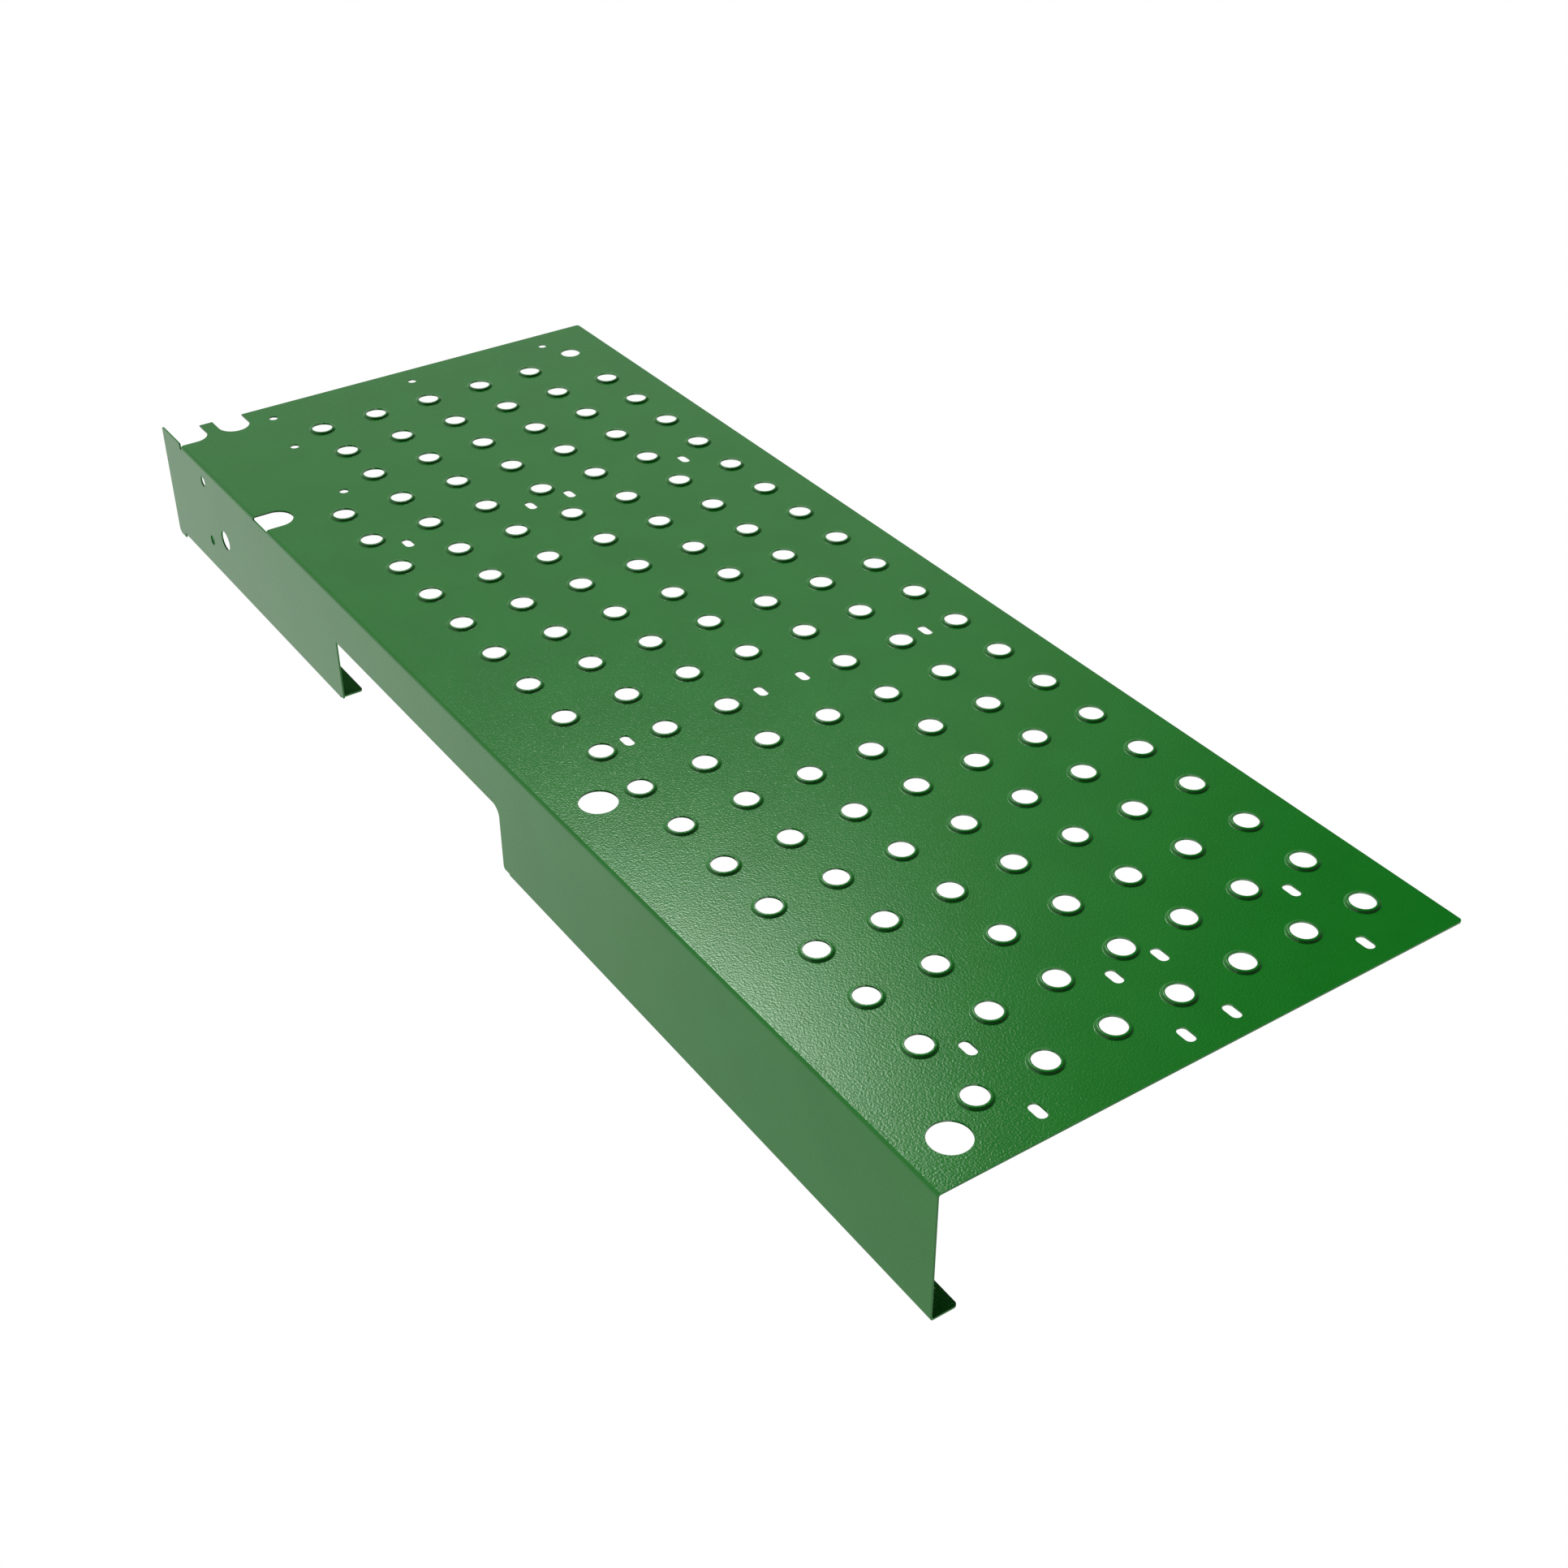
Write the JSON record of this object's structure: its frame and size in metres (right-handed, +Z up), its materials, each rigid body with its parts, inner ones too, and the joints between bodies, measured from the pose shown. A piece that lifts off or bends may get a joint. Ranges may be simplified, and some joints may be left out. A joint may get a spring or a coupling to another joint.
{
  "type": "work platform deck plate",
  "caption": "Folded sheet-steel deck plate with raised grip holes, one side flange with inward lips, notches and slotted bolt holes for fixing to a platform frame.",
  "frame": {"origin": "deck underside, at the middle of the outer four slots of the first two slot rows, which is where the plate is bolted to its frame", "axes": "+X along the plate towards its square end, +Y across it from the flange to the free edge, +Z up out of the deck"},
  "size_m": [1.29, 0.4785, 0.1213],
  "materials": {
    "coated_sheet": "satin green powder coat"
  },
  "bodies": {
    "root": {"deck_panel": "coated_sheet", "grip_collars": "coated_sheet", "top_fold": "coated_sheet", "side_flange": "coated_sheet", "near_lip": "coated_sheet", "far_lip": "coated_sheet"}
  },
  "joints": []
}
